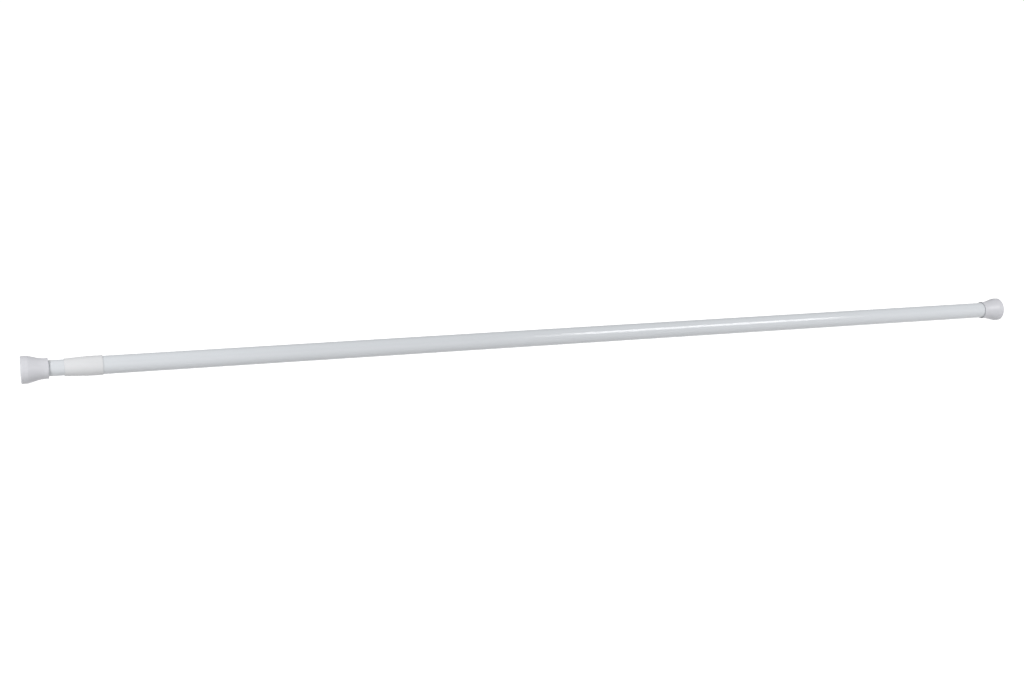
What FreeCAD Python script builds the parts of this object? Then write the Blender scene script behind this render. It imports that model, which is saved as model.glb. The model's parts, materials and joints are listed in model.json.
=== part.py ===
import FreeCAD, Part
import math
import os

import Sketcher

# Spring tension rod for a curtain or a shower curtain.
# Two telescoping tubes are set to length by a twist lock hidden inside them: a threaded spindle
# draws a cone nut into a split expander, which grips the outer tube's bore. A coil spring on the
# spindle pushes the inner tube outwards and holds the rod between two walls by its soft feet.
#
# The rod lies along X and Z is up. The fixed foot's wall face is at the origin and looks along
# +X. The moving foot's wall face looks along -X. Lengths are millimetres and angles degrees.

SIZES = {
    # Tubes
    "outer_tube_od": 22.0,
    "outer_tube_wall": 0.6,
    "outer_tube_length": 1300.0,
    "inner_tube_wall": 0.6,
    "telescope_gap": 0.9,
    "bare_length": 17.3,
    # Guide sleeve on the outer tube's open end
    "sleeve_cone_length": 26.3,
    "sleeve_barrel_length": 16.8,
    "sleeve_wall": 0.7,
    "sleeve_nose_wall": 0.75,
    "sleeve_spigot_length": 10.0,
    "sleeve_nose_chamfer": 0.4,
    "guide_clearance": 0.15,
    # Flared feet
    "foot_length": 30.6,
    "foot_end_wall": 5.0,
    "foot_overhang": 5.2,
    "foot_rim_length": 7.8,
    "foot_rim_chamfer": 0.8,
    "foot_waist_round": 40.0,
    "foot_neck_length": 8.2,
    "foot_lip": 0.55,
    "foot_mouth_gap": 0.6,
    "foot_mouth_depth": 3.0,
    "grip_ring_count": 2,
    "grip_ring_width": 1.2,
    "grip_ring_depth": 0.7,
    # End plugs inside the feet
    "plug_flange": 2.0,
    "plug_spigot_length": 16.0,
    "plug_wall": 1.5,
    "press_gap": 0.05,
    # Spindle, its clips and its washers
    "thread_od": 6.0,
    "thread_lead": 3.0,
    "lock_turns": 1.0,
    "spindle_flats": 6.0,
    "spindle_stub": 2.0,
    "spindle_chamfer": 0.6,
    "collar_thickness": 3.0,
    "clip_thickness": 1.0,
    "clip_depth": 0.8,
    "clip_overhang": 2.2,
    "clip_opening": 3.2,
    "washer_thickness": 1.0,
    "tail_washer_overhang": 2.4,
    "running_clearance": 0.1,
    "drive_clearance": 0.15,
    "face_play": 0.2,
    "end_room": 0.5,
    # Split expander and its drag ring
    "expander_gap": 0.3,
    "hub_length": 8.0,
    "jaw_root_length": 3.0,
    "jaw_tip_wall": 1.6,
    "jaw_cone_angle": 7.0,
    "jaw_slot_count": 4,
    "jaw_slot_width": 2.4,
    "jaw_ridge_count": 2,
    "jaw_ridge_pitch": 5.0,
    "jaw_ridge_depth": 0.5,
    "drag_ring_width": 3.0,
    "drag_ring_thickness": 1.6,
    "drag_ring_gap": 0.1,
    # Cone nut
    "nut_grip_length": 14.0,
    "nut_flange": 3.0,
    "nut_seat_clearance": 0.12,
    "nut_end_room": 0.5,
    "nut_bottom_room": 2.5,
    "nut_key_height": 1.6,
    "nut_key_clearance": 0.2,
    # Coil spring and the plug that it pushes on
    "spring_wire": 1.6,
    "spring_mean_diameter": 13.0,
    "spring_length": 64.0,
    "spring_turns": 7,
    "spring_seat_margin": 0.5,
    "spring_plug_flange": 3.0,
    "spring_plug_spigot": 18.0,
    "spring_plug_lead_in": 1.0,
}

doc = FreeCAD.newDocument("spring_tension_rod")
sheet = doc.addObject("Spreadsheet::Sheet", "sizes")
for row, (alias, number) in enumerate(SIZES.items(), start=1):
    sheet.set(f"A{row}", alias)
    sheet.set(f"B{row}", str(number))
    sheet.setAlias(f"B{row}", alias)
doc.recompute()

# Radii worked out from the sheet, outermost first
TUBE_R = "(sizes.outer_tube_od / 2)"
BORE_R = f"({TUBE_R} - sizes.outer_tube_wall)"
INNER_R = f"({BORE_R} - sizes.telescope_gap)"
INNER_BORE_R = f"({INNER_R} - sizes.inner_tube_wall)"
SOCKET_R = f"({TUBE_R} + sizes.press_gap)"
EXPANDER_R = f"({BORE_R} - sizes.expander_gap)"
DRAG_RING_R = f"({BORE_R} - sizes.drag_ring_gap)"
SPRING_SEAT_R = "((sizes.spring_mean_diameter + sizes.spring_wire) / 2 + sizes.spring_seat_margin)"
THREAD_R = "(sizes.thread_od / 2)"
CORNER_R = "(sizes.spindle_flats / sqrt(3))"
WASHER_BORE_R = f"({CORNER_R} + sizes.drive_clearance)"
CLIP_SEAT_R = f"({THREAD_R} - sizes.clip_depth)"
CLIP_R = f"({THREAD_R} + sizes.clip_overhang)"

# The lock's taper: the nut stands clear of the jaws at rest and just clear of them when drawn in
TAPER = "tan(sizes.jaw_cone_angle * 1deg)"
DRAW = "(sizes.thread_lead * sizes.lock_turns)"
CONE_LENGTH = f"(sizes.nut_grip_length + {DRAW} + sizes.nut_bottom_room)"
JAW_MOUTH_R = f"({EXPANDER_R} - sizes.jaw_tip_wall)"
JAW_ROOT_R = f"({JAW_MOUTH_R} - {CONE_LENGTH} * {TAPER})"
NUT_GAP = f"({DRAW} * {TAPER} + sizes.nut_seat_clearance)"
NUT_STAND_OFF = f"({DRAW} + sizes.nut_end_room)"
NUT_TAPER_LENGTH = f"(sizes.nut_grip_length + {NUT_STAND_OFF})"
EXPANDER_LENGTH = f"(sizes.hub_length + sizes.jaw_root_length + {CONE_LENGTH})"

# Stations along the rod, measured from the fixed foot's wall face towards the moving foot
TUBE_START = "(sizes.foot_end_wall + sizes.plug_flange)"
TUBE_STOP = f"({TUBE_START} + sizes.outer_tube_length)"
SLEEVE_NOSE = f"({TUBE_STOP} + sizes.sleeve_cone_length)"
MOVING_FACE = f"({SLEEVE_NOSE} + sizes.bare_length + sizes.foot_length)"
INNER_STOP = f"({MOVING_FACE} - sizes.foot_end_wall - sizes.plug_flange)"
SPINDLE_END = f"({TUBE_START} + sizes.plug_spigot_length + sizes.end_room)"
NUT_CLIP = f"({SPINDLE_END} + sizes.spindle_stub + sizes.clip_thickness)"
NUT_SMALL_END = f"({NUT_CLIP} + sizes.face_play + sizes.nut_flange + {NUT_TAPER_LENGTH})"
HUB_FACE = f"({NUT_SMALL_END} - sizes.nut_grip_length + {EXPANDER_LENGTH})"
DRAG_RING = f"({HUB_FACE} - sizes.hub_length / 2 + sizes.drag_ring_width / 2)"
COLLAR_BACK = f"({HUB_FACE} + sizes.face_play + sizes.collar_thickness)"
SPRING_STOP = f"({COLLAR_BACK} + sizes.spring_length)"
PLUG_FACE = f"({SPRING_STOP} + sizes.washer_thickness)"
INNER_START = f"({PLUG_FACE} + sizes.spring_plug_flange)"
PLUG_BACK = f"({INNER_START} + sizes.spring_plug_spigot)"
TAIL_WASHER = f"({PLUG_BACK} + sizes.washer_thickness)"
TAIL_CLIP = f"({TAIL_WASHER} + sizes.clip_thickness)"
SPINDLE_TAIL = f"({TAIL_CLIP} + sizes.spindle_stub)"


def value_of(expression):
    """Present value of an expression in the sheet's cells."""
    return float(sheet.evalExpression(expression))


def new_body(label):
    """Empty body, named after the piece that it holds."""
    body = doc.addObject("PartDesign::Body", label)
    body.Label = label
    return body


def origin_of(body, role):
    """One of the body's own origin planes or axes."""
    return next(item for item in body.Origin.OriginFeatures if item.Role == role)


def new_sketch(body, role):
    """Sketch on one of the body's own origin planes."""
    sketch = body.newObject("Sketcher::SketchObject", f"{body.Name}_sketch")
    sketch.AttachmentSupport = (origin_of(body, role), [""])
    sketch.MapMode = "FlatFace"
    return sketch


def tie(sketch, kind, geometry, point, expression):
    """Hold one coordinate of a point to an expression, or to an axis where that is zero."""
    if expression == "0":
        axis = -2 if kind == "DistanceX" else -1
        sketch.addConstraint(Sketcher.Constraint("PointOnObject", geometry, point, axis))
        return
    held = Sketcher.Constraint(kind, -1, 1, geometry, point, value_of(expression))
    sketch.setExpression(f"Constraints[{sketch.addConstraint(held)}]", expression)


def outline(sketch, corners):
    """Closed straight-sided outline. Each corner is a pair of expressions."""
    places = [FreeCAD.Vector(value_of(x), value_of(y), 0) for x, y in corners]
    first = sketch.GeometryCount
    count = len(corners)
    for here, there in zip(places, places[1:] + places[:1]):
        sketch.addGeometry(Part.LineSegment(here, there), False)
    for k in range(count):
        after = first + (k + 1) % count
        sketch.addConstraint(Sketcher.Constraint("Coincident", first + k, 2, after, 1))
    for k, (x, y) in enumerate(corners):
        tie(sketch, "DistanceX", first + k, 1, x)
        tie(sketch, "DistanceY", first + k, 1, y)


def circle(sketch, radius):
    """Circle about the sketch's origin."""
    round_line = Part.Circle(FreeCAD.Vector(), FreeCAD.Vector(0, 0, 1), value_of(radius))
    number = sketch.addGeometry(round_line, False)
    sketch.addConstraint(Sketcher.Constraint("Coincident", number, 3, -1, 1))
    held = sketch.addConstraint(Sketcher.Constraint("Radius", number, value_of(radius)))
    sketch.setExpression(f"Constraints[{held}]", radius)
    return number


def hexagon(sketch, flats):
    """Regular hexagon about the sketch's origin, with two corners on the vertical axis."""
    corner_circle = circle(sketch, f"({flats}) / sqrt(3)")
    sketch.setConstruction(corner_circle, True)
    reach = value_of(f"({flats}) / sqrt(3)")
    turns = [math.radians(90 + 60 * k) for k in range(6)]
    places = [FreeCAD.Vector(reach * math.cos(t), reach * math.sin(t), 0) for t in turns]
    sides = [
        sketch.addGeometry(Part.LineSegment(here, there), False)
        for here, there in zip(places, places[1:] + places[:1])
    ]
    for side, after in zip(sides, sides[1:] + sides[:1]):
        sketch.addConstraint(Sketcher.Constraint("Coincident", side, 2, after, 1))
        sketch.addConstraint(Sketcher.Constraint("PointOnObject", side, 1, corner_circle))
    for side in sides[1:]:
        sketch.addConstraint(Sketcher.Constraint("Equal", sides[0], side))
    sketch.addConstraint(Sketcher.Constraint("PointOnObject", sides[0], 1, -2))


def bar(sketch, start, stop, width):
    """Rectangle from start to stop along the sketch's X axis, with that axis in its middle."""
    left = value_of(start)
    right = value_of(stop)
    half = value_of(width) / 2
    corners = [(left, -half), (right, -half), (right, half), (left, half)]
    places = [FreeCAD.Vector(x, y, 0) for x, y in corners]
    bottom, end, top, back = [
        sketch.addGeometry(Part.LineSegment(here, there), False)
        for here, there in zip(places, places[1:] + places[:1])
    ]
    for side, after in ((bottom, end), (end, top), (top, back), (back, bottom)):
        sketch.addConstraint(Sketcher.Constraint("Coincident", side, 2, after, 1))
    sketch.addConstraint(Sketcher.Constraint("Horizontal", bottom))
    sketch.addConstraint(Sketcher.Constraint("Symmetric", end, 1, end, 2, -1))
    sketch.addConstraint(Sketcher.Constraint("Symmetric", back, 1, back, 2, -1))
    held = sketch.addConstraint(Sketcher.Constraint("Distance", end, 2 * half))
    sketch.setExpression(f"Constraints[{held}]", width)
    tie(sketch, "DistanceX", back, 1, start)
    tie(sketch, "DistanceX", end, 1, stop)


def turned(body, corners):
    """Solid of revolution about the body's X axis."""
    sketch = new_sketch(body, "XZ_Plane")
    outline(sketch, corners)
    turning = body.newObject("PartDesign::Revolution", f"{body.Name}_turning")
    turning.Profile = sketch
    turning.ReferenceAxis = (sketch, ["H_Axis"])
    turning.Angle = 360
    doc.recompute()
    return turning


def grooved(body, outlines):
    """Ring grooves cut by turning outlines about the body's X axis."""
    sketch = new_sketch(body, "XZ_Plane")
    for corners in outlines:
        outline(sketch, corners)
    groove = body.newObject("PartDesign::Groove", f"{body.Name}_groove")
    groove.Profile = sketch
    groove.ReferenceAxis = (sketch, ["H_Axis"])
    groove.Angle = 360
    doc.recompute()
    return groove


def raised(body, sketch, length):
    """Pad of a sketch along its normal."""
    pad = body.newObject("PartDesign::Pad", f"{body.Name}_pad")
    pad.Profile = sketch
    pad.setExpression("Length", length)
    doc.recompute()
    return pad


def cut_through(body, sketch):
    """Pocket of a sketch through everything on the side that its normal points to."""
    pocket = body.newObject("PartDesign::Pocket", f"{body.Name}_pocket")
    pocket.Profile = sketch
    pocket.Type = "ThroughAll"
    pocket.Reversed = True
    doc.recompute()
    return pocket


def repeated(body, feature, count):
    """The feature repeated evenly round the body's X axis."""
    pattern = body.newObject("PartDesign::PolarPattern", f"{body.Name}_pattern")
    pattern.Originals = [feature]
    pattern.Axis = (origin_of(body, "X_Axis"), [""])
    pattern.Angle = 360
    pattern.setExpression("Occurrences", count)
    body.Tip = pattern
    doc.recompute()
    return pattern


def rounded(body, base, x, radius_there, fillet_radius):
    """Fillet on the round edge of the base that lies at x with the given radius."""
    centre = FreeCAD.Vector(value_of(x), 0, 0)
    wanted = value_of(radius_there)
    names = [
        f"Edge{number}"
        for number, edge in enumerate(base.Shape.Edges, start=1)
        if edge.Curve.TypeId == "Part::GeomCircle"
        and edge.Curve.Center.distanceToPoint(centre) < 1e-4
        and abs(edge.Curve.Radius - wanted) < 1e-4
    ]
    fillet = body.newObject("PartDesign::Fillet", f"{body.Name}_fillet")
    fillet.Base = (base, names)
    fillet.setExpression("Radius", fillet_radius)
    doc.recompute()
    return fillet


def placed(piece, left_end):
    """Put the piece's own origin at a station of the rod."""
    piece.setExpression("Placement.Base.x", f"0 - {left_end}")
    return piece


def facing_fixed_end(piece, station):
    """Turn the piece half round, so that its own X axis runs from the fixed wall into the rod."""
    piece.Placement.Rotation = FreeCAD.Rotation(FreeCAD.Vector(0, 0, 1), 180)
    return placed(piece, station)


def ring(label, outer_radius, bore_radius, start, stop):
    """Plain tube, washer or band between two stations."""
    body = new_body(label)
    section = new_sketch(body, "YZ_Plane")
    circle(section, outer_radius)
    circle(section, bore_radius)
    raised(body, section, f"{stop} - {start}")
    return placed(body, stop)


def guide_sleeve():
    """Moulded cap on the outer tube's open end: it guides the inner tube through a tapered nose."""
    body = new_body("guide_sleeve")
    cone = "sizes.sleeve_cone_length"
    barrel_end = f"({cone} + sizes.sleeve_barrel_length)"
    spigot_end = f"({cone} + sizes.sleeve_spigot_length)"
    guide_r = f"({INNER_R} + sizes.guide_clearance)"
    nose_r = f"({guide_r} + sizes.sleeve_nose_wall)"
    barrel_r = f"({SOCKET_R} + sizes.sleeve_wall)"
    spigot_r = f"({BORE_R} - sizes.press_gap)"
    chamfer = "sizes.sleeve_nose_chamfer"
    turned(body, [
        ("0", guide_r),
        ("0", f"({nose_r} - {chamfer})"),
        (chamfer, nose_r),
        (cone, barrel_r),
        (barrel_end, barrel_r),
        (barrel_end, SOCKET_R),
        (cone, SOCKET_R),
        (cone, spigot_r),
        (spigot_end, spigot_r),
        (spigot_end, guide_r),
    ])
    return placed(body, SLEEVE_NOSE)


def foot(label):
    """Soft flared foot. Its own X axis runs from the wall face to the mouth."""
    body = new_body(label)
    face_r = f"({TUBE_R} + sizes.foot_overhang)"
    mouth_r = f"({TUBE_R} + sizes.foot_mouth_gap)"
    neck_r = f"({mouth_r} + sizes.foot_lip)"
    chamfer = "sizes.foot_rim_chamfer"
    waist = "(sizes.foot_length - sizes.foot_neck_length)"
    recess = "(sizes.foot_length - sizes.foot_mouth_depth)"
    shape = turned(body, [
        ("0", "0"),
        ("0", f"({face_r} - {chamfer})"),
        (chamfer, face_r),
        ("sizes.foot_rim_length", face_r),
        (waist, neck_r),
        ("sizes.foot_length", neck_r),
        ("sizes.foot_length", mouth_r),
        (recess, mouth_r),
        (recess, SOCKET_R),
        ("sizes.foot_end_wall", SOCKET_R),
        ("sizes.foot_end_wall", "0"),
    ])
    rounded(body, shape, waist, neck_r, "sizes.foot_waist_round")
    depth = "sizes.grip_ring_depth"
    rings = []
    for k in range(int(value_of("sizes.grip_ring_count"))):
        inside = f"({face_r} * {k + 1} / (sizes.grip_ring_count + 1))"
        outside = f"({inside} + sizes.grip_ring_width)"
        rings.append([("0", inside), (depth, inside), (depth, outside), ("0", outside)])
    grooved(body, rings)
    return body


def fixed_end_plug():
    """Cup-shaped plug that closes the outer tube under the fixed foot."""
    body = new_body("fixed_end_plug")
    flange = "sizes.plug_flange"
    end = f"({flange} + sizes.plug_spigot_length)"
    spigot_r = f"({BORE_R} - sizes.press_gap)"
    hollow_r = f"({spigot_r} - sizes.plug_wall)"
    turned(body, [
        ("0", "0"),
        ("0", TUBE_R),
        (flange, TUBE_R),
        (flange, spigot_r),
        (end, spigot_r),
        (end, hollow_r),
        (flange, hollow_r),
        (flange, "0"),
    ])
    return facing_fixed_end(body, "sizes.foot_end_wall")


def moving_end_plug():
    """Plug of the inner tube. Its collar brings that tube up to the size of the foot's socket."""
    body = new_body("moving_end_plug")
    flange = "sizes.plug_flange"
    end = f"({flange} + sizes.plug_spigot_length)"
    collar_end = "(sizes.foot_length - sizes.foot_end_wall - sizes.foot_mouth_depth)"
    collar_bore_r = f"({INNER_R} + sizes.press_gap)"
    spigot_r = f"({INNER_BORE_R} - sizes.press_gap)"
    hollow_r = f"({spigot_r} - sizes.plug_wall)"
    turned(body, [
        ("0", "0"),
        ("0", TUBE_R),
        (collar_end, TUBE_R),
        (collar_end, collar_bore_r),
        (flange, collar_bore_r),
        (flange, spigot_r),
        (end, spigot_r),
        (end, hollow_r),
        (flange, hollow_r),
        (flange, "0"),
    ])
    return placed(body, f"({MOVING_FACE} - sizes.foot_end_wall)")


def spring_plug():
    """Plug in the inner tube's hidden end. The spindle slides in its hexagonal bore."""
    body = new_body("spring_plug")
    spigot = "sizes.spring_plug_spigot"
    end = f"({spigot} + sizes.spring_plug_flange)"
    lead_in = "sizes.spring_plug_lead_in"
    spigot_r = f"({INNER_BORE_R} - sizes.press_gap)"
    turned(body, [
        ("0", "0"),
        ("0", f"({spigot_r} - {lead_in})"),
        (lead_in, spigot_r),
        (spigot, spigot_r),
        (spigot, EXPANDER_R),
        (end, EXPANDER_R),
        (end, "0"),
    ])
    drive = new_sketch(body, "YZ_Plane")
    hexagon(drive, "sizes.spindle_flats + 2 * sizes.drive_clearance")
    cut_through(body, drive)
    return placed(body, PLUG_BACK)


def spindle():
    """Steel spindle: a hexagon that slides in the spring plug, a collar, and a threaded end."""
    body = new_body("spindle")
    collar = f"({SPINDLE_TAIL} - {COLLAR_BACK})"
    journal = f"({collar} + sizes.collar_thickness)"
    end = f"({SPINDLE_TAIL} - {SPINDLE_END})"
    groove_end = f"({end} - sizes.spindle_stub)"
    groove = f"({groove_end} - sizes.clip_thickness)"
    chamfer = "sizes.spindle_chamfer"
    turned(body, [
        (collar, "0"),
        (collar, SPRING_SEAT_R),
        (journal, SPRING_SEAT_R),
        (journal, THREAD_R),
        (groove, THREAD_R),
        (groove, CLIP_SEAT_R),
        (groove_end, CLIP_SEAT_R),
        (groove_end, THREAD_R),
        (f"({end} - {chamfer})", THREAD_R),
        (end, f"({THREAD_R} - {chamfer})"),
        (end, "0"),
    ])
    bar_stock = new_sketch(body, "YZ_Plane")
    hexagon(bar_stock, "sizes.spindle_flats")
    raised(body, bar_stock, f"{collar} + sizes.collar_thickness / 2")
    tail_groove = "sizes.spindle_stub"
    tail_groove_end = "(sizes.spindle_stub + sizes.clip_thickness)"
    beyond = f"({CORNER_R} + sizes.clip_depth)"
    grooved(body, [[
        (tail_groove, CLIP_SEAT_R),
        (tail_groove_end, CLIP_SEAT_R),
        (tail_groove_end, beyond),
        (tail_groove, beyond),
    ]])
    return placed(body, SPINDLE_TAIL)


def clip(label, left_end):
    """Open snap ring that sits in one of the spindle's grooves."""
    body = new_body(label)
    section = new_sketch(body, "YZ_Plane")
    circle(section, CLIP_R)
    circle(section, f"{CLIP_SEAT_R} + sizes.press_gap")
    raised(body, section, "sizes.clip_thickness")
    opening = new_sketch(body, "XZ_Plane")
    outline(opening, [
        ("0", "0"),
        ("sizes.clip_thickness", "0"),
        ("sizes.clip_thickness", f"2 * {CLIP_R}"),
        ("0", f"2 * {CLIP_R}"),
    ])
    pocket = body.newObject("PartDesign::Pocket", f"{label}_opening")
    pocket.Profile = opening
    pocket.Midplane = True
    pocket.setExpression("Length", "sizes.clip_opening")
    doc.recompute()
    return placed(body, left_end)


def expander():
    """Split sleeve whose ridged jaws spread when the cone nut is drawn in."""
    body = new_body("expander")
    end = EXPANDER_LENGTH
    hub = "sizes.hub_length"
    cone = f"({hub} + sizes.jaw_root_length)"
    hub_bore_r = f"({THREAD_R} + sizes.running_clearance)"
    ring_room = "(sizes.drag_ring_width / 2 + sizes.running_clearance)"
    ring_seat_r = f"({DRAG_RING_R} - sizes.drag_ring_thickness - sizes.press_gap)"
    ridge_bottom_r = f"({EXPANDER_R} - sizes.jaw_ridge_depth)"
    corners = [
        ("0", hub_bore_r),
        ("0", EXPANDER_R),
        (f"({hub} / 2 - {ring_room})", EXPANDER_R),
        (f"({hub} / 2 - {ring_room})", ring_seat_r),
        (f"({hub} / 2 + {ring_room})", ring_seat_r),
        (f"({hub} / 2 + {ring_room})", EXPANDER_R),
    ]
    count = int(value_of("sizes.jaw_ridge_count"))
    for k in reversed(range(count)):
        middle = f"({end} - sizes.jaw_ridge_pitch * {k + 1})"
        corners += [
            (f"({middle} - sizes.jaw_ridge_depth)", EXPANDER_R),
            (middle, ridge_bottom_r),
            (f"({middle} + sizes.jaw_ridge_depth)", EXPANDER_R),
        ]
    corners += [
        (end, EXPANDER_R),
        (end, JAW_MOUTH_R),
        (cone, JAW_ROOT_R),
        (hub, JAW_ROOT_R),
        (hub, hub_bore_r),
    ]
    turned(body, corners)
    slot = new_sketch(body, "XY_Plane")
    bar(slot, f"({hub} + sizes.jaw_slot_width)", f"({end} + sizes.jaw_slot_width)", "sizes.jaw_slot_width")
    repeated(body, cut_through(body, slot), "sizes.jaw_slot_count")
    return placed(body, HUB_FACE)


def cone_nut():
    """Tapered nut on the spindle's thread. Its keys run in the jaws' slots and stop it turning."""
    body = new_body("cone_nut")
    taper = NUT_TAPER_LENGTH
    end = f"({taper} + sizes.nut_flange)"
    small_r = f"({JAW_MOUTH_R} - sizes.nut_grip_length * {TAPER} - {NUT_GAP})"
    large_r = f"({JAW_MOUTH_R} + {NUT_STAND_OFF} * {TAPER} - {NUT_GAP})"
    turned(body, [
        ("0", "0"),
        ("0", small_r),
        (taper, large_r),
        (taper, EXPANDER_R),
        (end, EXPANDER_R),
        (end, "0"),
    ])
    key = new_sketch(body, "XY_Plane")
    key_width = "(sizes.jaw_slot_width - 2 * sizes.nut_key_clearance)"
    bar(key, "sizes.nut_bottom_room", f"({taper} + sizes.nut_flange / 2)", key_width)
    key_top = f"{JAW_MOUTH_R} + sizes.jaw_tip_wall - sizes.nut_key_height / 2"
    repeated(body, raised(body, key, key_top), "sizes.jaw_slot_count")
    bore = new_sketch(body, "YZ_Plane")
    circle(bore, f"{THREAD_R} + sizes.running_clearance")
    cut_through(body, bore)
    return placed(body, NUT_SMALL_END)


def tension_spring():
    """Coil spring with ground ends. Its wire is wound as an eight-sided bar."""
    path = doc.addObject("Part::Helix", "spring_path")
    path.setExpression("Radius", "sizes.spring_mean_diameter / 2")
    path.setExpression("Height", "sizes.spring_length")
    path.setExpression("Pitch", "sizes.spring_length / sizes.spring_turns")
    wire = doc.addObject("Part::RegularPolygon", "spring_wire_section")
    wire.Polygon = 8
    wire.setExpression("Circumradius", "sizes.spring_wire / 2")
    wire.Placement.Rotation = FreeCAD.Rotation(FreeCAD.Vector(1, 0, 0), 90)
    wire.setExpression("Placement.Base.x", "sizes.spring_mean_diameter / 2")
    coil = doc.addObject("Part::Sweep", "spring_coil")
    coil.Sections = [wire]
    coil.Spine = (path, ["Edge1"])
    coil.Solid = True
    coil.Frenet = True
    grinding = doc.addObject("Part::Cylinder", "spring_ground_length")
    grinding.setExpression("Radius", "sizes.spring_mean_diameter")
    grinding.setExpression("Height", "sizes.spring_length")
    spring = doc.addObject("Part::Common", "tension_spring")
    spring.Label = "tension_spring"
    spring.Base = coil
    spring.Tool = grinding
    spring.Placement.Rotation = FreeCAD.Rotation(FreeCAD.Vector(0, 1, 0), 90)
    return placed(spring, SPRING_STOP)


PIECES = [
    ring("outer_tube", TUBE_R, BORE_R, TUBE_START, TUBE_STOP),
    ring("inner_tube", INNER_R, INNER_BORE_R, INNER_START, INNER_STOP),
    guide_sleeve(),
    facing_fixed_end(foot("fixed_foot"), "0"),
    placed(foot("moving_foot"), MOVING_FACE),
    fixed_end_plug(),
    moving_end_plug(),
    spring_plug(),
    spindle(),
    clip("nut_clip", NUT_CLIP),
    clip("tail_clip", TAIL_CLIP),
    ring("spring_washer", SPRING_SEAT_R, WASHER_BORE_R, SPRING_STOP, PLUG_FACE),
    ring("tail_washer", f"{CORNER_R} + sizes.tail_washer_overhang", WASHER_BORE_R, PLUG_BACK, TAIL_WASHER),
    expander(),
    ring("drag_ring", DRAG_RING_R, f"{DRAG_RING_R} - sizes.drag_ring_thickness",
         f"({DRAG_RING} - sizes.drag_ring_width)", DRAG_RING),
    cone_nut(),
    tension_spring(),
]
doc.recompute()

for item in doc.Objects:
    if "Invalid" in item.State or "Error" in item.State:
        raise RuntimeError(f"{item.Label} did not compute")
for piece in PIECES:
    if piece.Shape.isNull() or not piece.Shape.isValid() or len(piece.Shape.Solids) != 1:
        raise RuntimeError(f"{piece.Label} is not one sound solid")

os.makedirs("parts", exist_ok=True)
for piece in PIECES:
    piece.Shape.exportStep(f"parts/{piece.Label}.step")
    print(f"{piece.Label}: {piece.Shape.Volume:.1f} mm3")
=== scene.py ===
# %% [markdown]
# # A white spring tension rod
# A tension rod holds a curtain between two walls without a screw. Two enamelled steel tubes slide in each
# other, a soft foot sits on each end, and a twist lock with a coil spring hides inside.
# The CAD frame already has every piece at its real size, in metres, with X along the rod. This lesson adds
# the looks: finer meshes where facets would show, a finish for each material, light and a camera.

# %% Load the frame
import json
import math
from collections import namedtuple

import bmesh
import bpy
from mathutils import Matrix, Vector

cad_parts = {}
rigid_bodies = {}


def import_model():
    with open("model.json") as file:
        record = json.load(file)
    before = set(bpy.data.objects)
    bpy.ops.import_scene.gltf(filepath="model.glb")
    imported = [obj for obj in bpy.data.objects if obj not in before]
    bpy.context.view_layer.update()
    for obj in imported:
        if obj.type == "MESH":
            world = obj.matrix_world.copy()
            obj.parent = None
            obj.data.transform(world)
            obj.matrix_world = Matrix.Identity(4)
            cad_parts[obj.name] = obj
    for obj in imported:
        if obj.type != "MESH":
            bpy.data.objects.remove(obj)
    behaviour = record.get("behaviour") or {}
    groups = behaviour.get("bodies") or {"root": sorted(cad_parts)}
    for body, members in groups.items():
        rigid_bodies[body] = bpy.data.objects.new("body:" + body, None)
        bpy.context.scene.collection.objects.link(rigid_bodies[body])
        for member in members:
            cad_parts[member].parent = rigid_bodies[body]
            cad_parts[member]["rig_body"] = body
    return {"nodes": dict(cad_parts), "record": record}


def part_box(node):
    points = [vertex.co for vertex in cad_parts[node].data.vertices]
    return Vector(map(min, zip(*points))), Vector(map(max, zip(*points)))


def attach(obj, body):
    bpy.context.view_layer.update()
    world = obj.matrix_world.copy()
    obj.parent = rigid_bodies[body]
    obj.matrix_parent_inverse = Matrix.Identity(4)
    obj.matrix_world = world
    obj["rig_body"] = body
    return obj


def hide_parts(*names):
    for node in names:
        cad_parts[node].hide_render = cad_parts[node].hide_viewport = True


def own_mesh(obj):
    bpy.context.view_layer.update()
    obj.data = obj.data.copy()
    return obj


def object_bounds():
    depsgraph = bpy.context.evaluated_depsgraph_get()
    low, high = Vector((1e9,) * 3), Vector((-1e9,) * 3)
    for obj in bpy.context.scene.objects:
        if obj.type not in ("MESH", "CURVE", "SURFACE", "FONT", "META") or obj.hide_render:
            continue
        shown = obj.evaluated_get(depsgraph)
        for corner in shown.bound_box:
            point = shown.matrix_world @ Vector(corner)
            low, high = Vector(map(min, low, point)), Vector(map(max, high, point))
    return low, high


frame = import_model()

MM = 0.001
cad_low, cad_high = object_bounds()
print("Rod length in mm:", round((cad_high.x - cad_low.x) / MM, 1))

# %% [markdown]
# ## Colours as written
# Blender's usual view transform bends bright colours to hold highlights. A white product on white has to
# keep its greys where the materials put them, so the plain Standard transform is used and nothing else is
# touched.

# %% Use the Standard view
bpy.context.scene.view_settings.view_transform = "Standard"
print("View transform:", bpy.context.scene.view_settings.view_transform)

# %% [markdown]
# ## Read a turned piece from its seam
# Most pieces of a rod are round about its axis, so half a section says everything about them. The numbers
# could be typed again here, but then the looks would part from the frame when a size changes. Each CAD mesh
# has one seam line where all its turned faces begin, and the corners on that line are the section.
# Flat rings have no seam, so the corners left with one neighbour are paired at equal X, from the rim in.

# %% Half section of a turned node
SEAM_DIGITS = 6
ANGLE_DIGITS = 1


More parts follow.
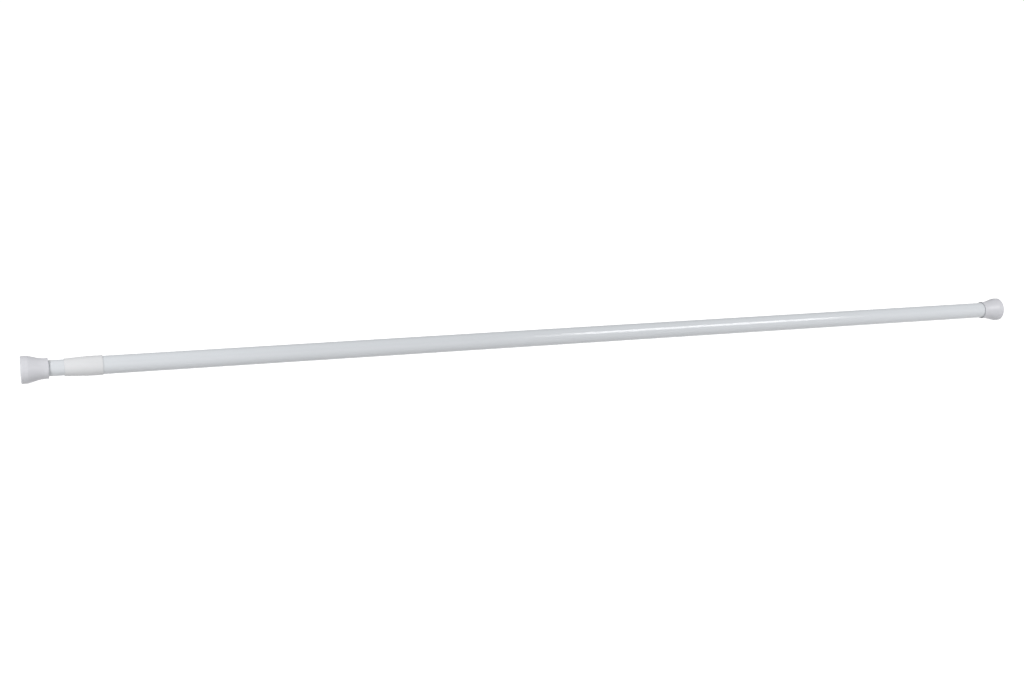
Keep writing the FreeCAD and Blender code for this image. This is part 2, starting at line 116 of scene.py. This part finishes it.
def section(node):
    """A turned node's corners (x, r) in order round its half section, and whether they form a loop."""
    mesh = frame["nodes"][node].data
    lines = {}
    for vertex in mesh.vertices:
        x, y, z = vertex.co
        corner = (round(x, SEAM_DIGITS), round(math.hypot(y, z), SEAM_DIGITS))
        angle = round(math.degrees(math.atan2(z, y)), ANGLE_DIGITS)
        lines.setdefault(angle, {})[vertex.index] = corner
    seam = max(lines.values(), key=lambda line: len(set(line.values())))
    links = {corner: set() for corner in seam.values()}

    def link(a, b):
        links.setdefault(a, set()).add(b)
        links.setdefault(b, set()).add(a)

    for edge in mesh.edges:
        a, b = (seam.get(index) for index in edge.vertices)
        if a and b and a != b:
            link(a, b)
    loose = {}
    for corner in sorted(links, key=lambda c: -c[1]):
        if len(links[corner]) < 2:
            loose.setdefault(corner[0], []).append(corner)
    for x, corners in loose.items():
        if len(corners) % 2:
            corners.append((x, 0.0))
        for a, b in zip(corners[::2], corners[1::2]):
            link(a, b)
    on_axis = [corner for corner in links if corner[1] == 0.0]
    walk = [max(on_axis or links)]
    walk.append(min(links[walk[0]]))
    while True:
        onward = links[walk[-1]] - {walk[-2]}
        if not onward or walk[0] in onward:
            return walk, not on_axis
        walk.append(onward.pop())


for node in ("outer_tube", "guide_sleeve", "fixed_foot"):
    corners, closed = section(node)
    print(node, "section:", len(corners), "corners,", "hollow" if closed else "closed end")

# %% [markdown]
# ## Break the edges
# No moulded or cut edge is a knife edge: a mould leaves a small round and a tube end is deburred. These
# rounds catch thin lines of light, which is how the eye tells a real edge. A Bevel modifier could add them,
# but on a section it takes only a short curve at each sharp corner, and every ring stays evenly spaced.

# %% Round the sharp corners of a section
SHARP_TURN = math.radians(12)
ROUND_STEPS = 5
MOST_OF_A_SIDE = 0.45


def softened(corners, closed, radius):
    """The same section with a small curve of about this radius at each corner that turns sharply."""
    points = []
    last = len(corners) - 1
    for index, corner in enumerate(corners):
        here = Vector(corner)
        back = Vector(corners[index - 1]) - here
        ahead = Vector(corners[(index + 1) % len(corners)]) - here
        turn = math.pi - back.angle(ahead)
        if turn < SHARP_TURN or (not closed and index in (0, last)):
            points.append(here)
            continue
        reach = min(radius * math.tan(turn / 2), MOST_OF_A_SIDE * back.length, MOST_OF_A_SIDE * ahead.length)
        start = here + back.normalized() * reach
        end = here + ahead.normalized() * reach
        for step in range(ROUND_STEPS + 1):
            t = step / ROUND_STEPS
            points.append(start * (1 - t) ** 2 + here * 2 * t * (1 - t) + end * t ** 2)
    return points


# %% [markdown]
# ## Turn a section into a mesh
# A lathe is one loop: each point of the section becomes a ring, and neighbouring rings are joined by quads.
# Blender's Spin operator or Screw modifier would do it too, but with our own rings a radius may also change
# round the axis, which later gives the spindle its hexagon and thread with the same few lines.
# The Weighted Normal modifier keeps flat and straight faces evenly lit right up to the small rounds.

# %% The lathe
TURN_STEPS = 144


def skin(name, rings, closed):
    """A mesh object from rings of points. A ring of one point closes an end on the axis."""
    shape = bmesh.new()
    rows = [[shape.verts.new(point) for point in ring] for ring in rings]
    pairs = list(zip(rows, rows[1:]))
    if closed:
        pairs.append((rows[-1], rows[0]))
    for here, there in pairs:
        count = max(len(here), len(there))
        for k in range(count):
            n = (k + 1) % count
            loop = [here[k % len(here)], here[n % len(here)], there[n % len(there)], there[k % len(there)]]
            shape.faces.new(dict.fromkeys(loop))
    bmesh.ops.recalc_face_normals(shape, faces=shape.faces)
    mesh = bpy.data.meshes.new(name)
    shape.to_mesh(mesh)
    shape.free()
    mesh.shade_smooth()
    piece = bpy.data.objects.new(name, mesh)
    bpy.context.scene.collection.objects.link(piece)
    even = piece.modifiers.new("even_light", "WEIGHTED_NORMAL")
    even.keep_sharp = True
    print(name, "has", len(mesh.polygons), "faces")
    return piece


def ring(x, radius, steps=TURN_STEPS):
    """Points round the axis at x. The radius is a number, or a rule that gives it for an angle."""
    if radius == 0:
        return [(x, 0, 0)]
    angles = [math.tau * k / steps for k in range(steps)]
    radii = [radius(angle) if callable(radius) else radius for angle in angles]
    return [(x, r * math.cos(angle), r * math.sin(angle)) for r, angle in zip(radii, angles)]


def turned(name, node, edge_round):
    """A fine turned mesh of a CAD node, with its edges broken by edge_round."""
    corners, closed = section(node)
    points = softened(corners, closed, edge_round)
    return skin(name, [ring(x, r) for x, r in points], closed)


# %% [markdown]
# ## Shared effects as node groups
# Real finishes are never one flat colour. Three effects come back in several materials, so each is a shader
# node group with named sockets, made once: a cloudy tint, the grain that a spark-eroded mould prints on
# plastic, and the fine lines that drawing leaves on steel. Only values that change over the surface come
# out; whatever is the same all over is set on the shader itself.

# %% A new node group with named sockets
def node_group(name, inputs, outputs):
    """An empty group and its two end nodes. An input is (name, kind, default), an output (name, kind)."""
    group = bpy.data.node_groups.new(name, "ShaderNodeTree")
    for label, kind, value in inputs:
        group.interface.new_socket(label, in_out="INPUT", socket_type=kind).default_value = value
    for label, kind in outputs:
        group.interface.new_socket(label, in_out="OUTPUT", socket_type=kind)
    return group, group.nodes.new("NodeGroupInput"), group.nodes.new("NodeGroupOutput")


def noise_of(tree, scale=None, detail=3.0, stretch=None):
    """A noise texture on the piece's own coordinates, so that the pattern moves with the piece."""
    place = tree.nodes.new("ShaderNodeTexCoord").outputs["Object"]
    if stretch is not None:
        mapping = tree.nodes.new("ShaderNodeMapping")
        mapping.inputs["Scale"].default_value = stretch
        tree.links.new(place, mapping.inputs["Vector"])
        place = mapping.outputs["Vector"]
    noise = tree.nodes.new("ShaderNodeTexNoise")
    noise.inputs["Detail"].default_value = detail
    tree.links.new(place, noise.inputs["Vector"])
    if scale is not None:
        noise.inputs["Scale"].default_value = scale
    return noise


# %% Cloudy tint
def make_cloudy_tint():
    """Mixes a colour with a shade of itself in soft clouds."""
    group, given, result = node_group(
        "cloudy_tint",
        [("Colour", "NodeSocketColor", (0.8, 0.8, 0.8, 1)),
         ("Shade", "NodeSocketColor", (0.7, 0.7, 0.7, 1)),
         ("Cloud Scale", "NodeSocketFloat", 12.0)],
        [("Colour", "NodeSocketColor")])
    noise = noise_of(group)
    mix = group.nodes.new("ShaderNodeMix")
    mix.data_type = "RGBA"
    group.links.new(given.outputs["Cloud Scale"], noise.inputs["Scale"])
    group.links.new(noise.outputs["Fac"], mix.inputs["Factor"])
    group.links.new(given.outputs["Colour"], mix.inputs["A"])
    group.links.new(given.outputs["Shade"], mix.inputs["B"])
    group.links.new(mix.outputs["Result"], result.inputs["Colour"])
    return group


CLOUDY_TINT = make_cloudy_tint()
print("Group:", CLOUDY_TINT.name)


# %% Moulded grain
PATCH_SCALE = 90.0
PATCH_LOW = 0.3
PATCH_HIGH = 0.7


def make_moulded_grain():
    """Fine grain of a mould's surface: a height for bump, and a roughness that drifts about its middle."""
    group, given, result = node_group(
        "moulded_grain",
        [("Grain Scale", "NodeSocketFloat", 2500.0),
         ("Smoothest", "NodeSocketFloat", 0.4),
         ("Roughest", "NodeSocketFloat", 0.6)],
        [("Height", "NodeSocketFloat"), ("Roughness", "NodeSocketFloat")])
    grain = noise_of(group, detail=1.0)
    patches = noise_of(group, scale=PATCH_SCALE)
    spread = group.nodes.new("ShaderNodeMapRange")
    spread.inputs["From Min"].default_value = PATCH_LOW
    spread.inputs["From Max"].default_value = PATCH_HIGH
    group.links.new(given.outputs["Grain Scale"], grain.inputs["Scale"])
    group.links.new(patches.outputs["Fac"], spread.inputs["Value"])
    group.links.new(given.outputs["Smoothest"], spread.inputs["To Min"])
    group.links.new(given.outputs["Roughest"], spread.inputs["To Max"])
    group.links.new(grain.outputs["Fac"], result.inputs["Height"])
    group.links.new(spread.outputs["Result"], result.inputs["Roughness"])
    return group


MOULDED_GRAIN = make_moulded_grain()
print("Group:", MOULDED_GRAIN.name)


# %% Drawn lines
LINE_STRETCH = (0.03, 1.0, 1.0)


def make_drawn_lines():
    """Scratches that run along X, as on wire and bar pulled through a die."""
    group, given, result = node_group(
        "drawn_lines",
        [("Line Scale", "NodeSocketFloat", 900.0),
         ("Smoothest", "NodeSocketFloat", 0.2),
         ("Roughest", "NodeSocketFloat", 0.4)],
        [("Height", "NodeSocketFloat"), ("Roughness", "NodeSocketFloat")])
    lines = noise_of(group, detail=4.0, stretch=LINE_STRETCH)
    spread = group.nodes.new("ShaderNodeMapRange")
    group.links.new(given.outputs["Line Scale"], lines.inputs["Scale"])
    group.links.new(lines.outputs["Fac"], spread.inputs["Value"])
    group.links.new(given.outputs["Smoothest"], spread.inputs["To Min"])
    group.links.new(given.outputs["Roughest"], spread.inputs["To Max"])
    group.links.new(lines.outputs["Fac"], result.inputs["Height"])
    group.links.new(spread.outputs["Result"], result.inputs["Roughness"])
    return group


DRAWN_LINES = make_drawn_lines()
print("Group:", DRAWN_LINES.name)

# %% [markdown]
# ## A material's common part
# Every finish here starts the same way: a Principled shader whose colour comes from the cloudy tint. The
# finishes keep the record's own slot names, so that each can be found again from the frame.

# %% Start a finish
FINISH = {}


def new_finish(slot, colour, shade, cloud_scale):
    """A material named after its slot, with a tinted Principled shader. Returns its tree and that shader."""
    material = bpy.data.materials.new(slot)
    material.use_nodes = True
    tree = material.node_tree
    shader = tree.nodes["Principled BSDF"]
    tint = tree.nodes.new("ShaderNodeGroup")
    tint.node_tree = CLOUDY_TINT
    tint.inputs["Colour"].default_value = (*colour, 1)
    tint.inputs["Shade"].default_value = (*shade, 1)
    tint.inputs["Cloud Scale"].default_value = cloud_scale
    tree.links.new(tint.outputs["Colour"], shader.inputs["Base Color"])
    FINISH[slot] = material
    return tree, shader


def roughen(tree, shader, group, scale, smoothest, roughest, depth):
    """Gives a shader its roughness and a bump of this depth, in metres, from a surface group."""
    surface = tree.nodes.new("ShaderNodeGroup")
    surface.node_tree = group
    for socket, value in zip(surface.inputs, (scale, smoothest, roughest)):
        socket.default_value = value
    bump = tree.nodes.new("ShaderNodeBump")
    bump.inputs["Distance"].default_value = depth
    tree.links.new(surface.outputs["Height"], bump.inputs["Height"])
    tree.links.new(surface.outputs["Roughness"], shader.inputs["Roughness"])
    tree.links.new(bump.outputs["Normal"], shader.inputs["Normal"])


# %% [markdown]
# ## White enamel
# The tubes are thin steel, dipped or powder coated and baked to a glossy, faintly bluish white. A coat like
# that flows as it bakes and sets with a slight orange peel, waves a few millimetres across. A glossy shader
# alone would look like glass, so a very shallow bump breaks the edge of each reflection.

# %% Enamel for both tubes
ENAMEL_IOR = 1.5
GLOSS_SCALE = 25.0
GLOSSIEST = 0.10
DULLEST = 0.18
PEEL_SCALE = 330.0
PEEL_DEPTH = 0.0025 * MM


def make_white_enamel():
    """Glossy bluish white with orange peel."""
    tree, shader = new_finish(
        "white_enamel", colour=(0.715, 0.74, 0.772), shade=(0.69, 0.715, 0.743), cloud_scale=9.0)
    shader.inputs["IOR"].default_value = ENAMEL_IOR
    peel = noise_of(tree, scale=PEEL_SCALE, detail=1.0)
    gloss = noise_of(tree, scale=GLOSS_SCALE)
    spread = tree.nodes.new("ShaderNodeMapRange")
    spread.inputs["To Min"].default_value = GLOSSIEST
    spread.inputs["To Max"].default_value = DULLEST
    bump = tree.nodes.new("ShaderNodeBump")
    bump.inputs["Distance"].default_value = PEEL_DEPTH
    tree.links.new(gloss.outputs["Fac"], spread.inputs["Value"])
    tree.links.new(spread.outputs["Result"], shader.inputs["Roughness"])
    tree.links.new(peel.outputs["Fac"], bump.inputs["Height"])
    tree.links.new(bump.outputs["Normal"], shader.inputs["Normal"])


make_white_enamel()
print("Finishes so far:", list(FINISH))

# %% [markdown]
# ## Plastics and rubber
# The sleeve is moulded in a harder plastic with a satin skin. The feet are a soft compound that grips the
# wall: matte, and a touch lavender beside the cool tube. The plugs and the lock are inner mouldings that
# nobody polishes. All share the moulded grain, each with its own scale and depth.

# %% Mouldings
NYLON_SUBSURFACE = 0.1
NYLON_RADIUS = (1.2 * MM, 1.0 * MM, 0.7 * MM)


def make_mouldings():
    """Sleeve, feet, plugs, lock and drag ring."""
    tree, shader = new_finish(
        "sleeve_plastic", colour=(0.745, 0.75, 0.765), shade=(0.722, 0.727, 0.74), cloud_scale=40.0)
    roughen(tree, shader, MOULDED_GRAIN, scale=3200.0, smoothest=0.29, roughest=0.37, depth=0.006 * MM)
    tree, shader = new_finish(
        "foot_rubber", colour=(0.668, 0.671, 0.709), shade=(0.634, 0.637, 0.67), cloud_scale=60.0)
    roughen(tree, shader, MOULDED_GRAIN, scale=2600.0, smoothest=0.34, roughest=0.46, depth=0.012 * MM)
    tree, shader = new_finish(
        "plug_plastic", colour=(0.62, 0.62, 0.60), shade=(0.56, 0.56, 0.54), cloud_scale=80.0)
    roughen(tree, shader, MOULDED_GRAIN, scale=2200.0, smoothest=0.45, roughest=0.60, depth=0.015 * MM)
    tree, shader = new_finish(
        "lock_nylon", colour=(0.68, 0.65, 0.56), shade=(0.60, 0.57, 0.48), cloud_scale=120.0)
    roughen(tree, shader, MOULDED_GRAIN, scale=2000.0, smoothest=0.38, roughest=0.52, depth=0.012 * MM)
    shader.inputs["Subsurface Weight"].default_value = NYLON_SUBSURFACE
    shader.inputs["Subsurface Radius"].default_value = NYLON_RADIUS
    tree, shader = new_finish(
        "drag_rubber", colour=(0.030, 0.030, 0.032), shade=(0.018, 0.018, 0.018), cloud_scale=150.0)
    roughen(tree, shader, MOULDED_GRAIN, scale=3000.0, smoothest=0.55, roughest=0.75, depth=0.02 * MM)


make_mouldings()
print("Finishes so far:", list(FINISH))

# %% [markdown]
# ## Steels
# The spindle is drawn hexagon bar with a bright skin, and spring wire is darker from its heat treatment.
# Both have lines along their length, so the drawn lines group drives their roughness and bump.

# %% Bright bar and spring wire
def make_steels():
    """Spindle and washers, and spring and clips."""
    tree, shader = new_finish(
        "spindle_steel", colour=(0.60, 0.61, 0.62), shade=(0.52, 0.53, 0.54), cloud_scale=200.0)
    shader.inputs["Metallic"].default_value = 1.0
    roughen(tree, shader, DRAWN_LINES, scale=2400.0, smoothest=0.18, roughest=0.36, depth=0.006 * MM)
    tree, shader = new_finish(
        "spring_steel", colour=(0.42, 0.42, 0.43), shade=(0.30, 0.29, 0.28), cloud_scale=260.0)
    shader.inputs["Metallic"].default_value = 1.0
    roughen(tree, shader, DRAWN_LINES, scale=3000.0, smoothest=0.25, roughest=0.45, depth=0.006 * MM)


make_steels()
print("Finishes:", list(FINISH))

# %% [markdown]
# ## Put a piece in a node's place
# A new piece has to move as the CAD node did and take the same finish. The frame knows both: the node
# carries its body's name, and the record lists a material slot for each node.

# %% Stand in for a node
SLOT_OF = {row["node"]: row["material_slot"] for row in frame["record"]["subparts"]}


def stand_in(piece, node):
    """The piece rides on the node's body, hides the node and takes its finish."""
    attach(piece, frame["nodes"][node]["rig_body"])
    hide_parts(node)
    piece.data.materials.append(FINISH[SLOT_OF[node]])
    return piece


# %% [markdown]
# ## The tubes
# In the frame a tube is a barrel of some forty flat strips, and the long highlight would break at each one.
# Turning the same section again with more steps gives an even roll of light. The cut ends get the small
# round that deburring leaves.

# %% Outer and inner tube
TUBE_DEBURR = 0.15 * MM
for node in ("outer_tube", "inner_tube"):
    stand_in(turned(node + "_enamelled", node, TUBE_DEBURR), node)

# %% [markdown]
# ## The guide sleeve
# A tapered plastic cap is pressed on the outer tube's open end. Its bore guides the inner tube, and its
# taper lets curtain rings ride over the step. The shoulder between cone and barrel stays a faint crisp line.

# %% Sleeve
SLEEVE_EDGE = 0.3 * MM
stand_in(turned("guide_sleeve_moulding", "guide_sleeve", SLEEVE_EDGE), "guide_sleeve")

# %% [markdown]
# ## The feet
# Each foot is one soft flared moulding: a broad rim that meets the wall, a waist and a neck. The neck's
# mouth is wider than the tube, which leaves a dark ring of shade there, and two grooves in the wall face
# bite like a seal.

# %% Both feet
FOOT_EDGE = 0.45 * MM
for node in ("fixed_foot", "moving_foot"):
    stand_in(turned(node + "_moulding", node, FOOT_EDGE), node)

# %% [markdown]
# ## Turned pieces inside
# The end plugs, the washers and the drag ring are turned or moulded round too. The same three steps serve.

# %% Plugs, washers and drag ring
PLUG_EDGE = 0.25 * MM
WASHER_EDGE = 0.12 * MM
DRAG_RING_EDGE = 0.5 * MM
EDGE_OF = {
    "fixed_end_plug": PLUG_EDGE,
    "moving_end_plug": PLUG_EDGE,
    "spring_washer": WASHER_EDGE,
    "tail_washer": WASHER_EDGE,
    "drag_ring": DRAG_RING_EDGE,
}
for node, edge in EDGE_OF.items():
    stand_in(turned(node + "_turned", node, edge), node)

# %% [markdown]
# ## The spindle
# The spindle starts as drawn hexagon bar. A collar takes the spring, two grooves take the snap rings, and
# the front end is turned down and threaded. A thread could be cut with a Screw modifier, but the lathe above
# already lets a radius change round the axis: a hexagon is the distance to the nearest flat, and a thread is
# a wave that moves along by one lead for each turn. The wave fades out before the collar and the groove, as
# a die leaves it. The stations along X and the radii are read from the frame's own corners.

# %% Stations of the spindle
THREAD_LEAD = 3.0 * MM
THREAD_DEPTH = 0.7 * MM
THREAD_FADE = 1.5 * MM
THREAD_STEPS_PER_LEAD = 16
SPINDLE_STEPS = 72
SPINDLE_SHARP = math.radians(35)
STATION_DIGITS = 4
Station = namedtuple("Station", "x low high")


def stations(node):
    """The smallest and largest radius of a node's corners at each X where it has corners, along X."""
    found = {}
    for vertex in frame["nodes"][node].data.vertices:
        x, y, z = vertex.co
        found.setdefault(round(x, STATION_DIGITS), []).append(math.hypot(y, z))
    return [Station(x, min(radii), max(radii)) for x, radii in sorted(found.items())]


for x, low, high in stations("spindle"):
    print("spindle at", round(x / MM, 1), "mm: radius", round(low / MM, 2), "to", round(high / MM, 2))

# %% Hexagon and thread as rules of the angle
SIXTH = math.tau / 6


def hexagon(corner_radius):
    """The rule of a hexagonal bar with corners up and down."""
    flat_radius = corner_radius * math.cos(SIXTH / 2)
    return lambda angle: flat_radius / math.cos((angle - math.pi / 2) % SIXTH - SIXTH / 2)


def thread(x, start, end, crest):
    """The rule of a rounded right-hand thread at x, which fades out towards both ends of its run."""
    strength = max(0.0, min(1.0, (x - start) / THREAD_FADE, (end - x) / THREAD_FADE))
    depth = THREAD_DEPTH * strength

    def radius(angle):
        along = (x / THREAD_LEAD - angle / math.tau) % 1.0
        return crest - depth * math.sin(math.pi * along) ** 2

    return radius


# %% Build the spindle
def make_spindle():
    """Tail, groove, hexagon, collar, thread, groove and chamfered stub, as rings from tail to stub."""
    along = stations("spindle")
    tail, groove_a, groove_b, collar_a, collar_b, nut_a, nut_b, chamfer = along[:8]
    stub = along[-1]
    bar = hexagon(tail.high)
    crest = collar_b.low
    run = nut_a.x - collar_b.x
    plan = [(tail.x, 0), (tail.x, bar), (groove_a.x, bar), (groove_a.x, groove_a.low)]
    plan += [(groove_b.x, groove_b.low), (groove_b.x, bar), (collar_a.x, bar)]
    plan += [(collar_a.x, collar_a.high), (collar_b.x, collar_b.high), (collar_b.x, crest)]
    count = round(run / THREAD_LEAD * THREAD_STEPS_PER_LEAD)
    for k in range(1, count):
        x = collar_b.x + run * k / count
        plan.append((x, thread(x, collar_b.x, nut_a.x, crest)))
    plan += [(nut_a.x, crest), (nut_a.x, nut_a.low), (nut_b.x, nut_b.low), (nut_b.x, crest)]
    plan += [(chamfer.x, crest), (stub.x, stub.high), (stub.x, 0)]
    spindle = skin("spindle_threaded", [ring(x, r, SPINDLE_STEPS) for x, r in plan], False)
    spindle.data.set_sharp_from_angle(angle=SPINDLE_SHARP)
    stand_in(spindle, "spindle")


make_spindle()

# %% [markdown]
# ## The coil spring
# The spring is round wire wound on a mandrel, with both ends ground flat for the washer and the collar. A
# curve with a bevel would give the wire, but not the ground ends. So rings of the wire walk along the helix,
# and points past an end are held at its plane, which is just what the grinding wheel does.
# When the rod is pushed shorter, along the joint spring_slide, the coil shortens towards the collar.

# %% Wind the spring
SPRING_TURNS = 7
STEPS_PER_TURN = 40
WIRE_STEPS = 16
CAP_DEPTH = 0.35


def make_spring():
    """Round wire along a helix between the washer and the collar, starting below the axis."""
    low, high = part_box("tension_spring")
    radii = [math.hypot(v.co.y, v.co.z) for v in frame["nodes"]["tension_spring"].data.vertices]
    mean = (max(radii) + min(radii)) / 2
    wire = (max(radii) - min(radii)) / 2
    length = high.x - low.x
    slope = math.atan2(length, math.tau * mean * SPRING_TURNS)
    count = SPRING_TURNS * STEPS_PER_TURN
    rings = []
    for step in range(count + 1):
        angle = math.tau * step / STEPS_PER_TURN - math.pi / 2
        outward = Vector((0, math.cos(angle), math.sin(angle)))
        forward = Vector((0, -math.sin(angle), math.cos(angle)))
        across = Vector((math.cos(slope), 0, 0)) - forward * math.sin(slope)
        centre = outward * mean + Vector((low.x + length * step / count, 0, 0))
        points = []
        for k in range(WIRE_STEPS):
            turn = math.tau * k / WIRE_STEPS
            point = centre + (outward * math.cos(turn) + across * math.sin(turn)) * wire
            point.x = max(low.x, min(high.x, point.x))
            points.append(point)
        rings.append(points)
        if step in (0, count):
            inward = wire * CAP_DEPTH * (1 if step == 0 else -1)
            rings.insert(0 if step == 0 else len(rings), [centre + across * inward])
    spring = stand_in(skin("tension_spring_wire", rings, False), "tension_spring")
    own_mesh(spring)
    print("Spring:", round(length / MM, 1), "mm long, wire", round(2 * wire / MM, 2), "mm")


make_spring()

# %% [markdown]
# ## Finish the pieces that stay
# The split expander, the cone nut, the clips and the plug with its hexagonal hole are already right in the
# frame, so they only take a finish.

# %% Finish the CAD nodes
for node, piece in frame["nodes"].items():
    if not piece.hide_render:
        piece.data.materials.clear()
        piece.data.materials.append(FINISH[SLOT_OF[node]])
        print("finished", node, "in", SLOT_OF[node])

# %% [markdown]
# ## Floor and backdrop
# A rod between two walls hangs clear of the ground, so the floor lies well below and the rod's soft shadow
# falls out of the picture. The picture's ground is white: floor and world show white to the rays that come
# from the camera or a reflection, and to all other rays they are only a pale floor and a quiet, grey room.
# High up the room gets darker, as a studio's ceiling is, and that draws a fine dark line along the rod's
# upper edge.

# %% White for the rays that are seen
FLOOR_DROP = 1.0
FLOOR_SIZE = 40.0
FLOOR_COLOUR = (0.65, 0.65, 0.65, 1)
FLOOR_LIFT = 0.90


def seen_rays(tree):
    """Is 1 for rays from the camera, or through glass or off a gloss, and 0 for light that only bounces."""
    path = tree.nodes.new("ShaderNodeLightPath")
    either = path.outputs["Is Camera Ray"]
    for kind in ("Is Glossy Ray", "Is Transmission Ray"):
        most = tree.nodes.new("ShaderNodeMath")
        most.operation = "MAXIMUM"
        tree.links.new(either, most.inputs[0])
        tree.links.new(path.outputs[kind], most.inputs[1])
        either = most.outputs[0]
    return either


def make_floor():
    """A wide pale floor whose white is lifted for seen rays, and which keeps its shadows."""
    mesh = bpy.data.meshes.new("floor")
    half = FLOOR_SIZE / 2
    centre = (cad_low.x + cad_high.x) / 2
    level = cad_low.z - FLOOR_DROP
    sides = ((-half, -half), (half, -half), (half, half), (-half, half))
    mesh.from_pydata([(centre + x, y, level) for x, y in sides], [], [(0, 1, 2, 3)])
    floor = bpy.data.objects.new("floor", mesh)
    bpy.context.scene.collection.objects.link(floor)
    material = bpy.data.materials.new("pale_floor")
    material.use_nodes = True
    tree = material.node_tree
    tree.nodes.clear()
    matte = tree.nodes.new("ShaderNodeBsdfDiffuse")
    matte.inputs["Color"].default_value = FLOOR_COLOUR
    lift = tree.nodes.new("ShaderNodeEmission")
    strength = tree.nodes.new("ShaderNodeMath")
    strength.operation = "MULTIPLY"
    strength.inputs[1].default_value = FLOOR_LIFT
    both = tree.nodes.new("ShaderNodeAddShader")
    output = tree.nodes.new("ShaderNodeOutputMaterial")
    tree.links.new(seen_rays(tree), strength.inputs[0])
    tree.links.new(strength.outputs[0], lift.inputs["Strength"])
    tree.links.new(matte.outputs[0], both.inputs[0])
    tree.links.new(lift.outputs[0], both.inputs[1])
    tree.links.new(both.outputs[0], output.inputs["Surface"])
    mesh.materials.append(material)
    return floor


print("Floor at z =", round(make_floor().data.vertices[0].co.z, 3))

# %% Backdrop and room
BACKDROP_TOP = math.sin(math.radians(14))
CEILING_FROM = math.sin(math.radians(32))
BACKDROP_SEEN = 1.04
CEILING_SEEN = 0.12
ROOM_LIGHT = 0.52


def make_world():
    """White backdrop that fades to a dim ceiling for seen rays, and a soft grey room for the light."""
    world = bpy.data.worlds.new("studio")
    world.use_nodes = True
    tree = world.node_tree
    place = tree.nodes.new("ShaderNodeTexCoord")
    height = tree.nodes.new("ShaderNodeSeparateXYZ")
    tree.links.new(place.outputs["Generated"], height.inputs[0])

    def fade(low_value, high_value):
        ramp = tree.nodes.new("ShaderNodeMapRange")
        ramp.interpolation_type = "SMOOTHSTEP"
        ramp.inputs["From Min"].default_value = BACKDROP_TOP
        ramp.inputs["From Max"].default_value = CEILING_FROM
        ramp.inputs["To Min"].default_value = low_value
        ramp.inputs["To Max"].default_value = high_value
        tree.links.new(height.outputs["Z"], ramp.inputs["Value"])
        return ramp.outputs["Result"]

    choice = tree.nodes.new("ShaderNodeMix")
    tree.links.new(seen_rays(tree), choice.inputs["Factor"])
    choice.inputs["A"].default_value = ROOM_LIGHT
    tree.links.new(fade(BACKDROP_SEEN, CEILING_SEEN), choice.inputs["B"])
    background = tree.nodes["Background"]
    background.inputs["Color"].default_value = (1, 1, 1, 1)
    tree.links.new(choice.outputs["Result"], background.inputs["Strength"])
    bpy.context.scene.world = world


make_world()
print("Room light:", ROOM_LIGHT)

# %% [markdown]
# ## Two softboxes and a fill
# Two boxes stand in front of the rod, left and right of the camera. The right one is broad and high. A round
# tube mirrors such a box as one thin bright streak, where the angle from camera to tube equals the angle
# from tube to lamp. The left one is small and stands close to the rod's near end, off to its side. Its light
# comes along the rod at a slant, fades towards the middle, and draws thin shadows beside the foot's mouth
# and the sleeve's step.
# The third is a wide, weak fill, low behind the rod and opposite the camera. It reaches only the far side
# and the underside, so the rod stays pale from behind. A lamp is a visible thing to Blender's rays: this one
# is hidden from the camera and from reflections, which see the backdrop instead.

# %% Lamps
RIGHT_PLACE = (0.43, -1.47, 0.90)
RIGHT_SIZE = (0.84, 0.76)
RIGHT_POWER = 16.0
RIGHT_AIM = (0.43, 0, 0)
LEFT_PLACE = (-2.05, -0.75, 0.50)
LEFT_SIZE = (0.3, 0.3)
LEFT_POWER = 7.8
LEFT_AIM = (-1.25, 0, 0)
FILL_PLACE = (-0.5, 2.2, -0.42)
FILL_SIZE = (4.0, 1.0)
FILL_POWER = 18.0
FILL_AIM = (-0.7, 0, 0)


def softbox(name, place, aim, size, power):
    """A rectangular lamp of this size in metres, turned to face a point."""
    lamp = bpy.data.lights.new(name, "AREA")
    lamp.shape = "RECTANGLE"
    lamp.size, lamp.size_y = size
    lamp.energy = power
    box = bpy.data.objects.new(name, lamp)
    box.location = place
    box.rotation_euler = (Vector(aim) - Vector(place)).to_track_quat("-Z", "Y").to_euler()
    bpy.context.scene.collection.objects.link(box)
    return box


softbox("right_softbox", RIGHT_PLACE, RIGHT_AIM, RIGHT_SIZE, RIGHT_POWER)
softbox("left_softbox", LEFT_PLACE, LEFT_AIM, LEFT_SIZE, LEFT_POWER)
fill = softbox("back_fill", FILL_PLACE, FILL_AIM, FILL_SIZE, FILL_POWER)
fill.visible_camera = False
fill.visible_glossy = False
print("Lamps:", [o.name for o in bpy.context.scene.objects if o.type == "LIGHT"])

# %% [markdown]
# ## The camera
# The picture was taken from near the sleeve's end, a little above the rod, so the far foot looks smaller.
# With the tube's width known at both ends and the rod's slope in the picture, the camera's distance and lens
# can be worked out: a 49 mm lens about 1.7 m in front of the rod, aimed close to its middle.

# %% Camera
LENS = 48.97
SENSOR_WIDTH = 36.0
CAMERA_PLACE = Vector((-1.415, -1.669, 0.296))
CAMERA_AIM = Vector((-0.7772, 0.0, -0.0021))


def make_camera():
    """The camera at the picture's viewpoint."""
    lens = bpy.data.cameras.new("camera")
    lens.lens = LENS
    lens.sensor_width = SENSOR_WIDTH
    camera = bpy.data.objects.new("camera", lens)
    camera.location = CAMERA_PLACE
    camera.rotation_euler = (CAMERA_AIM - CAMERA_PLACE).to_track_quat("-Z", "Y").to_euler()
    bpy.context.scene.collection.objects.link(camera)
    bpy.context.scene.camera = camera
    return camera


print("Camera at", [round(v, 3) for v in make_camera().location])
